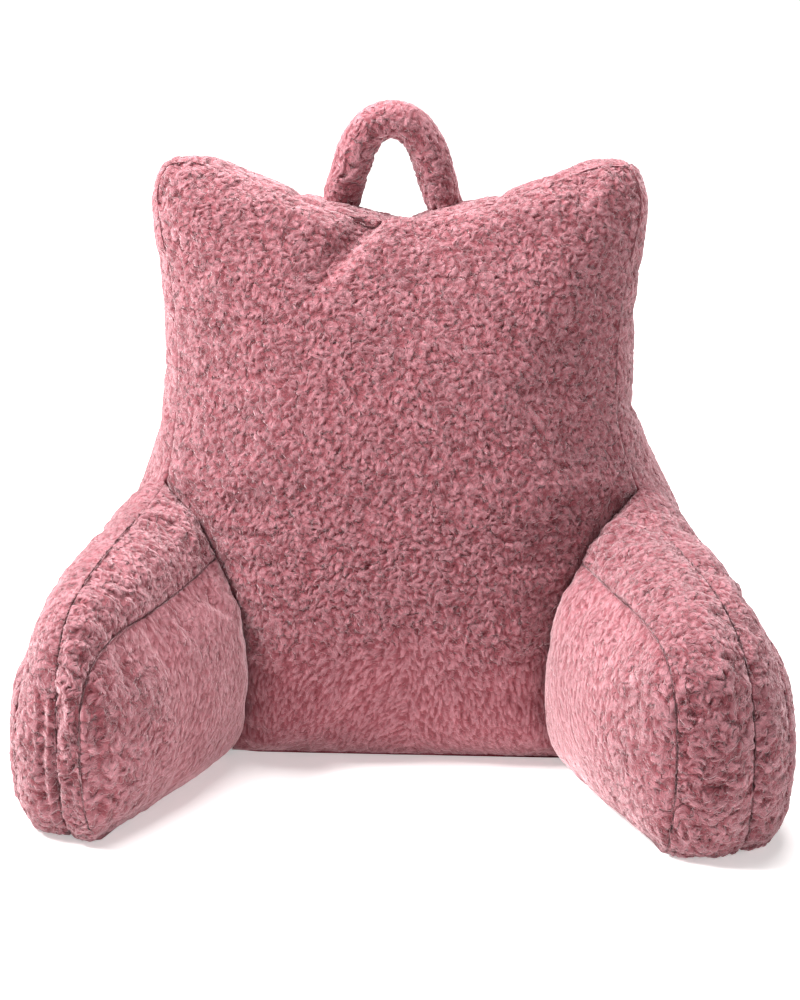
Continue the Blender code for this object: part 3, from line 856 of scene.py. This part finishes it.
# %% Round the foot
FOOT_HIGH = 30.0         # mm above the floor where the cloth starts to round in
FOOT_DEEP = 7.0          # mm at the floor
UPRIGHT = (0.1, 0.5)     # how level the cloth's normal has to be for it to round in
DEEP_INSIDE = 12.0       # mm into a hidden side beyond which nothing can be seen


def tucked_under(mesh, p, normal, away):
    """How far each point moves in, in mm: the cloth at the foot, and the hidden sides next to it."""
    flat = normal * np.array([1, 1, 0], np.float32)
    upright = ramp(np.linalg.norm(flat, axis=1), *UPRIGHT)
    foot = np.clip(1 - p[:, 2] / FOOT_HIGH, 0, 1) ** 2
    inward = -FOOT_DEEP * (foot * upright)[:, None] * unit(flat)
    on_seam, on_cloth = seam_points(mesh)
    seam = np.flatnonzero(on_seam & (foot > 0))
    tree = KDTree(len(seam))
    for number in seam:
        tree.insert(p[number], number)
    tree.balance()
    for number in np.flatnonzero(~on_cloth):
        fade = 1 + away[number] / DEEP_INSIDE
        inward[number] = 0
        if fade > 0 and foot[number] > 0:
            inward[number] = fade * inward[tree.find(p[number])[1]]
    return inward


# %% [markdown]
# ## Raise the pile
#
# Now each point of the fine skins moves: along the cloth's normal by its tuft, its folds and the dip of
# the seam, and sideways where the pile beside a seam leans over it and hides the stitches. The pile
# also stands on the first few millimetres of the hidden sides, so a seam is a soft slot and not a
# bare wedge.

# %% Raise the pile
MID_PILE = 0.45          # the height of a tuft that stays where the solid's surface is
SEAM_RISE = 2.6          # mm over which the pile rises from a seam
SEAM_BARE = -0.8         # where that rise starts; below 0, so that the seam isn't quite bare
# the colour falls towards a seam as painted shade in its groove; this is where that starts
SEAM_PAINTED_SHADE_FROM = -3.0         # and where the colour's starts, so that the seam isn't quite dark
SEAM_DEPTH = 0.5         # mm, the groove of the stitched line
SEAM_LINE = 2.0          # mm from its middle to its side
SEAM_DIP = 1.0           # mm, and the cloth's own dip towards it
DIP_REACH = 6.0
SEAM_LEAN = 1.3          # mm that the pile beside a seam leans over it
LEAN_FROM = (2.2, 1.4)   # mm from the seam where it leans most, and over what width
LEAST_CURL = 0.18        # what stays of the curl in brushed pile


def cloth_normals(mesh):
    """Vertex normals that leave out the hidden sides, so that neighbours agree along a seam."""
    normal = numbers(mesh.vertex_normals, "vector", 3)
    shown = numbers(mesh.polygons, "material_index") == 0
    of_face = numbers(mesh.polygons, "normal", 3) * numbers(mesh.polygons, "area")[:, None]
    corners = np.array([p.loop_total for p in mesh.polygons])
    face = np.repeat(np.arange(len(corners)), corners)
    vertex = numbers(mesh.loops, "vertex_index").astype(np.int64)
    used = shown[face]
    face, vertex = face[used], vertex[used]
    total = np.stack([np.bincount(vertex, of_face[face, k], len(normal)) for k in range(3)], axis=1)
    on_cloth = np.bincount(vertex, minlength=len(normal)) > 0
    normal[on_cloth] = unit(total[on_cloth])
    return normal


def tuft_heights(p, normal, away, curl, big, nap):
    """Every point's tuft, from small or big locks, and the way it lies."""
    height, lie = np.zeros(len(p), np.float32), nap.copy()
    near = away > -DEEP_INSIDE
    for spacing, salt, chosen in ((SMALL_LOCKS, 100, big < 0.5), (BIG_LOCKS, 200, big >= 0.5)):
        here = near & chosen
        if here.any():
            height[here], lie[here] = tufts(p[here], normal[here], nap[here], spacing, curl[here], salt)
    return height, lie


def raise_pile(node, ob):
    """Move the fine skin into its folds and tufts, and store what the finish needs."""
    mesh = ob.data
    p = numbers(mesh.vertices, "co", 3) / MM
    normal = cloth_normals(mesh)
    away = stored(mesh, "seam_away")
    nearest = stored(mesh, "seam_nearest") / MM
    curl, big, depth = pile_fields(node, p, normal)
    height, lie = tuft_heights(p, normal, away, curl, big, nap_of(node, p, normal, curl))
    pile = ramp(np.abs(away), SEAM_BARE, SEAM_RISE) * ramp(away, -DEEP_INSIDE, -DEEP_INSIDE / 2)
    lift = depth * (height - MID_PILE) * pile
    lift += gathers(node, p, normal, np.maximum(away, 0), nearest) * ramp(away, -SEAM_LINE, 0)
    lift -= SEAM_DEPTH * bell(away, 0, SEAM_LINE) + SEAM_DIP * np.exp(-np.abs(away) / DIP_REACH)
    lean = SEAM_LEAN * height * bell(away, *LEAN_FROM)
    moved = p + lift[:, None] * normal + lean[:, None] * unit(nearest - p)
    if node not in ("handle", "gusset_top"):
        moved += tucked_under(mesh, p, normal, away)
    moved[:, 2] = np.maximum(moved[:, 2], 0)
    mesh.vertices.foreach_set("co", (moved * MM).ravel())
    # nap carries the tuft's height to the colour, lowered towards a seam so that the colour paints shade
    # into it
    store(mesh, "nap", height * ramp(np.abs(away), SEAM_PAINTED_SHADE_FROM, SEAM_RISE))
    store(mesh, "lie", lie)
    store(mesh, "out", normal)
    store(mesh, "curl", between((LEAST_CURL, 1), curl))
    for name in ("seam_away", "seam_nearest"):
        mesh.attributes.remove(mesh.attributes[name])
    mesh.update()
    print(node, "tufted,", len(p), "points, lift", round(float(lift.min()), 1), "to",
          round(float(lift.max()), 1), "mm")


for node, skin in skins.items():
    raise_pile(node, skin)

# %% [markdown]
# ## Thin the skins
#
# The tufts were stamped on a grid of about 1 mm. Many of its faces do little: those on flat hidden
# sides and along smooth slopes. Collapsing edges where the shape changes least keeps the gaps and
# tips sharp in far fewer triangles. It can leave a point a hair below the floor, so those are put back.

# %% Keep the triangles that count
# node's first words: most triangles kept
TRIANGLES = {
    "front": 196000,
    "back": 105000,
    "gusset_top": 42000,
    "gusset": 92000,
    "arm_band": 74000,
    "arm_inner": 58000,
    "arm_outer": 40000,
    "handle": 66000,
}


def thinned(node, ob):
    """Collapse a skin's least useful edges; returns how many triangles it keeps."""
    wanted = TRIANGLES[family(TRIANGLES, node)]
    count = sum(p.loop_total - 2 for p in ob.data.polygons)
    if count > wanted:
        modifier = ob.modifiers.new("thin", "DECIMATE")
        modifier.ratio = wanted / count
        modifier.use_collapse_triangulate = True
        applied(ob)
        points = numbers(ob.data.vertices, "co", 3)
        points[:, 2] = np.maximum(points[:, 2], 0)
        ob.data.vertices.foreach_set("co", points.ravel())
        ob.data.update()
    kept = sum(p.loop_total - 2 for p in ob.data.polygons)
    print(node, count, "triangles, kept", kept)
    return kept


total = sum(thinned(node, skin) for node, skin in skins.items())
print("triangles in all:", total)

# %% [markdown]
# ## Faux rabbit plush
#
# The pile is matt polyester fibre, dyed dusty rose. Between the tufts the eye looks down into it, and there
# the colour is painted a deep, saturated rose as painted shade; the curled tips are painted chalky and pale
# as a painted highlight, where they catch the light. Every fibre is a fine hair, so edges seen at a slant
# glow: that is the sheen.
#
# A tuft parts into wisps, bent leaves about 12 mm long and 7 mm wide that lie over each other, too thin
# for the skin's own faces. They are laid in the finish, in four layers of scattered cells with one wisp
# to a cell. Each roughly follows its tuft, climbs towards its tip and ends in a crisp edge, and the
# highest one is seen. Within a wisp the fibres lie side by side and show as fine lines, raised in relief
# and drawn in painted shade and highlight.
#
# The skin tells the finish four things about each point: how high its tuft stands, lowered towards a
# seam so that the colour paints shade into it (nap), which way it lies (lie), which way the cloth faces
# (out), and how curly the pile is (curl).

# %% One layer of wisps
WISP_CELL_MM = 9.5
WISP_LONG = 0.66         # half length, as a share of the cell
WISP_WIDE = 0.38         # half width
WISP_STRAY = 1.6         # how far a wisp strays from its tuft's own way
WISP_BEND = 1.4
CRISP = 0.72             # how far out on a wisp its edge starts to fall
WISP_ROOT = 0.3          # its height at the root; 1 at the tip
FIBRE_MM = 1.2           # across the fibre lines; real fibres are finer and wouldn't show
FIBRE_RUN_MM = 9.0       # how long a line runs before it changes
LINES_APART = 60.0       # sets the fibre lines of one wisp apart from the next one's


def wisp_layer(tree, where, out, lie, curl, shift):
    """Nodes for one layer: the wisp's height, 0 off it, and the place on it to draw fibre lines by."""
    at = add_node(tree, "ShaderNodeVectorMath", {"operation": "MULTIPLY_ADD"},
                  {0: where, 1: (1000 / WISP_CELL_MM,) * 3, 2: (shift,) * 3}).outputs["Vector"]
    cell = add_node(tree, "ShaderNodeTexVoronoi", None, {"Vector": at, "Scale": 1.0})
    off = add_node(tree, "ShaderNodeVectorMath", {"operation": "SUBTRACT"},
                   {0: at, 1: cell.outputs["Position"]}).outputs["Vector"]
    random = add_node(tree, "ShaderNodeVectorMath", {"operation": "SUBTRACT"},
                      {0: cell.outputs["Color"], 1: (0.5, 0.5, 0.5)}).outputs["Vector"]
    curled = add_node(tree, "ShaderNodeVectorMath", {"operation": "SCALE"},
                      {0: random, "Scale": curl}).outputs["Vector"]
    stray = add_node(tree, "ShaderNodeVectorMath", {"operation": "CROSS_PRODUCT"},
                     {0: out, 1: curled}).outputs["Vector"]
    strayed = add_node(tree, "ShaderNodeVectorMath", {"operation": "MULTIPLY_ADD"},
                       {0: stray, 1: (WISP_STRAY,) * 3, 2: lie}).outputs["Vector"]
    way = add_node(tree, "ShaderNodeVectorMath", {"operation": "NORMALIZE"}, {0: strayed}).outputs["Vector"]
    side = add_node(tree, "ShaderNodeVectorMath", {"operation": "CROSS_PRODUCT"},
                    {0: out, 1: way}).outputs["Vector"]
    along = add_node(tree, "ShaderNodeVectorMath", {"operation": "DOT_PRODUCT"},
                     {0: off, 1: way}).outputs["Value"]
    straight = add_node(tree, "ShaderNodeVectorMath", {"operation": "DOT_PRODUCT"},
                        {0: off, 1: side}).outputs["Value"]
    own = add_node(tree, "ShaderNodeSeparateXYZ", None, {"Vector": curled}).outputs
    squared = add_node(tree, "ShaderNodeMath", {"operation": "MULTIPLY"}, {0: along, 1: along})
    bend = add_node(tree, "ShaderNodeMath", {"operation": "MULTIPLY"}, {0: own["X"], 1: -2 * WISP_BEND})
    across = add_node(tree, "ShaderNodeMath", {"operation": "MULTIPLY_ADD"},
                      {0: squared.outputs["Value"], 1: bend.outputs["Value"], 2: straight}).outputs["Value"]
    spot = add_node(tree, "ShaderNodeCombineXYZ", None, {"X": across, "Y": along}).outputs["Vector"]
    shape = add_node(tree, "ShaderNodeVectorMath", {"operation": "MULTIPLY"},
                     {0: spot, 1: (1 / WISP_WIDE, 1 / WISP_LONG, 0.0)}).outputs["Vector"]
    outward = add_node(tree, "ShaderNodeVectorMath", {"operation": "LENGTH"}, {0: shape}).outputs["Value"]
    inside = add_node(tree, "ShaderNodeMapRange", {"interpolation_type": "SMOOTHSTEP"},
                      {"Value": outward, "From Min": 1.0, "From Max": CRISP}).outputs["Result"]
    climb = add_node(tree, "ShaderNodeMapRange", None,
                     {"Value": along, "From Min": -WISP_LONG, "From Max": WISP_LONG,
                      "To Min": WISP_ROOT, "To Max": 1.0}).outputs["Result"]
    height = add_node(tree, "ShaderNodeMath", {"operation": "MULTIPLY"},
                      {0: inside, 1: climb}).outputs["Value"]
    seed = add_node(tree, "ShaderNodeVectorMath", {"operation": "MULTIPLY"},
                    {0: random, 1: (0.0, 0.0, LINES_APART)}).outputs["Vector"]
    drawn = add_node(tree, "ShaderNodeVectorMath", {"operation": "ADD"},
                     {0: seed, 1: spot}).outputs["Vector"]
    place = add_node(tree, "ShaderNodeVectorMath", {"operation": "MULTIPLY"},
                     {0: drawn, 1: (WISP_CELL_MM / FIBRE_MM, WISP_CELL_MM / FIBRE_RUN_MM, 1.0)})
    return height, place.outputs["Vector"]


# %% Lay the layers over each other
LAYERS = 4
LAYER_SHIFT = 7.3        # cells from one layer's grid to the next one's


def wisps(tree, where, out, lie, curl):
    """Nodes for the height of the highest wisp at a point, and for the fibre lines on it."""
    height, place = wisp_layer(tree, where, out, lie, curl, 0.0)
    for number in range(1, LAYERS):
        other, other_place = wisp_layer(tree, where, out, lie, curl, LAYER_SHIFT * number)
        over = add_node(tree, "ShaderNodeMath", {"operation": "GREATER_THAN"}, {0: other, 1: height})
        height = add_node(tree, "ShaderNodeMath", {"operation": "MAXIMUM"},
                          {0: other, 1: height}).outputs["Value"]
        place = add_node(tree, "ShaderNodeMix", {"data_type": "VECTOR"},
                         {0: over.outputs["Value"], 4: place, 5: other_place}).outputs[1]
    lines = add_node(tree, "ShaderNodeTexNoise", None,
                     {"Vector": place, "Scale": 1.0, "Detail": 1.0, "Roughness": 0.5}).outputs["Fac"]
    return height, lines


# %% Dye, painted shade and highlight, and sheen
# the root's colour is the dye darkened as painted shade, and the tip's is the dye lightened as a painted
# highlight
ROOT_COLOUR_IN_PAINTED_SHADE = "#58141d"
PILE_COLOUR = "#844149"
TIP_COLOUR_WITH_PAINTED_HIGHLIGHT = "#bc858d"
DYE_AND_PAINTED_LIGHT_STOPS = ((0.05, ROOT_COLOUR_IN_PAINTED_SHADE), (0.45, PILE_COLOUR), (1.0, TIP_COLOUR_WITH_PAINTED_HIGHLIGHT))   # by height in the pile
FIBRE_ROUGHNESS = 0.9
FIBRE_IOR = 1.5          # polyester's is a little higher; loose pile hides it
FIBRE_SPECULAR = 0.2
SHEEN = 0.9
SHEEN_ROUGHNESS = 0.45
SHEEN_TINT = "#f8d8dc"
MOTTLE_MM = 55.0
MOTTLE = (0.94, 1.06)    # how much the dye varies over that
# painted shade and highlight along the fibre lines, which follow their relief
LINE_SHADE = (0.70, 1.22)     # and from one fibre line to the next
# painted shade in the gaps between wisps: the wisp height where it ends, and how dark it gets
GAP_SHADE_REACH = (0.08, 0.5)  # a wisp's height where its gap ends
GAP_SHADE_LEVEL = (0.85, 0.30)      # how far down a gap looks into the pile: brushed, curly
MIDDLE_NOISE = (0.3, 0.7)     # noise seldom leaves this range
RELIEF_MM = 2.8          # height of a wisp's tip over the gap beside it
LINE_RELIEF = 0.55       # height of the fibre lines, as a share of that


def dye_with_painted_light(tree, nap, curl, where, wisp, lines):
    """Nodes for the colour: the dye in painted shade, deep in the gaps and at a seam, with a painted
    highlight, pale at the tips, and the fibre lines drawn over it in painted shade and highlight.
    """
    # a Map Range node's inputs in order: the value, its low and high, and what those become
    # painted shade: the colour darkens in the gaps between wisps and towards the pile's roots, less where
    # the pile is brushed
    darkest_gap_shade = add_node(tree, "ShaderNodeMapRange", None,
                       dict(enumerate((curl, LEAST_CURL, 1.0, *GAP_SHADE_LEVEL)))).outputs["Result"]
    gap_shade = add_node(tree, "ShaderNodeMapRange", None,
                   dict(enumerate((wisp, *GAP_SHADE_REACH, darkest_gap_shade, 1.0)))).outputs["Result"]
    level = add_node(tree, "ShaderNodeMath", {"operation": "MULTIPLY"}, {0: nap, 1: gap_shade}).outputs["Value"]
    shaded_dye_ramp = add_node(tree, "ShaderNodeValToRGB", None, {"Fac": level})
    shaded_dye_ramp.color_ramp.elements.new(DYE_AND_PAINTED_LIGHT_STOPS[1][0])
    for stop, (place, colour) in zip(shaded_dye_ramp.color_ramp.elements, DYE_AND_PAINTED_LIGHT_STOPS):
        stop.position = place
        stop.color = linear(colour)
    mottle = add_node(tree, "ShaderNodeTexNoise", None,
                      {"Vector": where, "Scale": 1000 / MOTTLE_MM, "Detail": 2.0}).outputs["Fac"]
    # painted shade and highlight along the fibre lines: darker where their relief is low, lighter where it
    # is high
    shade = add_node(tree, "ShaderNodeMapRange", None,
                     dict(enumerate((lines, *MIDDLE_NOISE, *LINE_SHADE)))).outputs["Result"]
    patchy = add_node(tree, "ShaderNodeMapRange", None,
                      dict(enumerate((mottle, *MIDDLE_NOISE, *MOTTLE)))).outputs["Result"]
    line_shade_and_mottle = add_node(tree, "ShaderNodeMath", {"operation": "MULTIPLY"},
                    {0: shade, 1: patchy}).outputs["Value"]
    return add_node(tree, "ShaderNodeVectorMath", {"operation": "SCALE"},
                    {0: shaded_dye_ramp.outputs["Color"], "Scale": line_shade_and_mottle}).outputs["Vector"]


def raised(tree, curl, wisp, lines):
    """Nodes for the relief of the wisps and their fibre lines, lower where the pile is brushed."""
    relief = add_node(tree, "ShaderNodeMath", {"operation": "MULTIPLY_ADD"},
                      {0: lines, 1: LINE_RELIEF, 2: wisp}).outputs["Value"]
    height = add_node(tree, "ShaderNodeMath", {"operation": "MULTIPLY"},
                      {0: relief, 1: curl}).outputs["Value"]
    return add_node(tree, "ShaderNodeBump", None,
                    {"Height": height, "Strength": 1.0, "Distance": RELIEF_MM * MM}).outputs["Normal"]


def faux_rabbit_plush():
    material = bpy.data.materials.new("faux_rabbit_plush")
    material.use_nodes = True
    tree = material.node_tree
    shader = tree.nodes["Principled BSDF"]
    shader.inputs["Roughness"].default_value = FIBRE_ROUGHNESS
    shader.inputs["IOR"].default_value = FIBRE_IOR
    shader.inputs["Specular IOR Level"].default_value = FIBRE_SPECULAR
    shader.inputs["Sheen Weight"].default_value = SHEEN
    shader.inputs["Sheen Roughness"].default_value = SHEEN_ROUGHNESS
    shader.inputs["Sheen Tint"].default_value = linear(SHEEN_TINT)
    nap, curl = (add_node(tree, "ShaderNodeAttribute", {"attribute_name": name}).outputs["Fac"]
                 for name in ("nap", "curl"))
    lie, out = (add_node(tree, "ShaderNodeAttribute", {"attribute_name": name}).outputs["Vector"]
                for name in ("lie", "out"))
    where = add_node(tree, "ShaderNodeTexCoord").outputs["Object"]
    wisp, lines = wisps(tree, where, out, lie, curl)
    tree.links.new(dye_with_painted_light(tree, nap, curl, where, wisp, lines), shader.inputs["Base Color"])
    tree.links.new(raised(tree, curl, wisp, lines), shader.inputs["Normal"])
    return material


plush = faux_rabbit_plush()
for skin in skins.values():
    skin.data.materials.clear()
    skin.data.materials.append(plush)
    skin.data.polygons.foreach_set("material_index", np.zeros(len(skin.data.polygons), np.int32))
print("nodes in the finish:", len(plush.node_tree.nodes))

# %% [markdown]
# ## Attach the pieces
#
# Each skin stands for its panel's solid, which is no longer shown. They all ride on the one body.

for node, skin in skins.items():
    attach(skin, "root")
    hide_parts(node)
